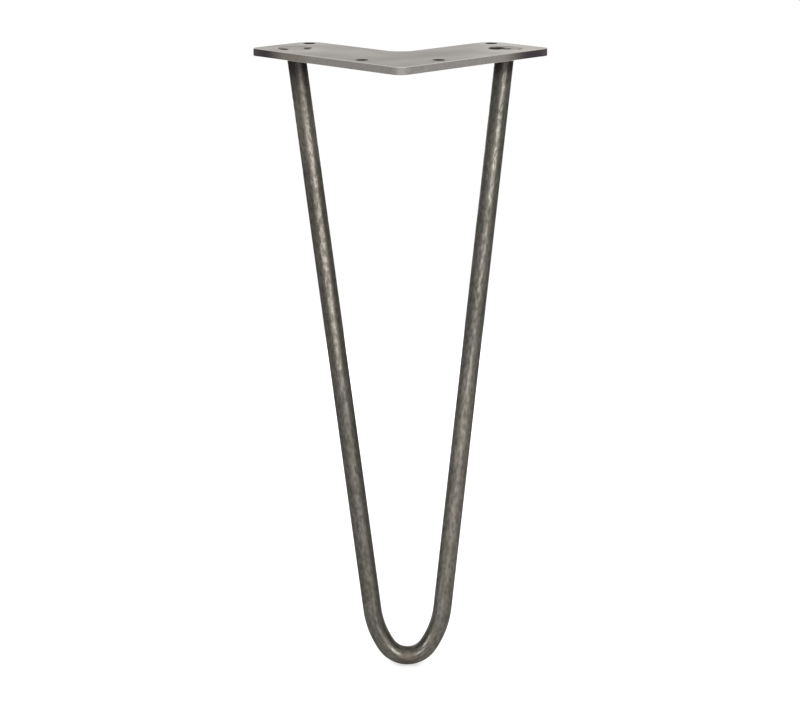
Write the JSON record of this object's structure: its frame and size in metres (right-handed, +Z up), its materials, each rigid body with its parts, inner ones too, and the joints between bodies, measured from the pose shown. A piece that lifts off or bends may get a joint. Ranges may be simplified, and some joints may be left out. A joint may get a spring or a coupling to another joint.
{
  "type": "hairpin table leg",
  "caption": "Hairpin furniture leg: a round steel bar bent to a narrow U, plug-welded to a V-shaped mounting plate with screw holes.",
  "frame": {"origin": "on the mounting face at the elbow of the plate, where the centrelines of its two arms cross", "axes": "+Z up out of the mounting face toward the table top; the leg hangs down along -Z; the plate's outer corner points along -Y and its arms run back to -X and +X"},
  "size_m": [0.1842, 0.1204, 0.4],
  "materials": {
    "plate_steel": "bare satin sheet steel",
    "bar_steel": "bare dark drawn steel with broken bright streaks",
    "weld_metal": "dark weld, dressed below the face"
  },
  "bodies": {
    "root": {"mounting_plate": "plate_steel", "hairpin_rod": "bar_steel", "left_weld": "weld_metal", "right_weld": "weld_metal"}
  },
  "joints": []
}
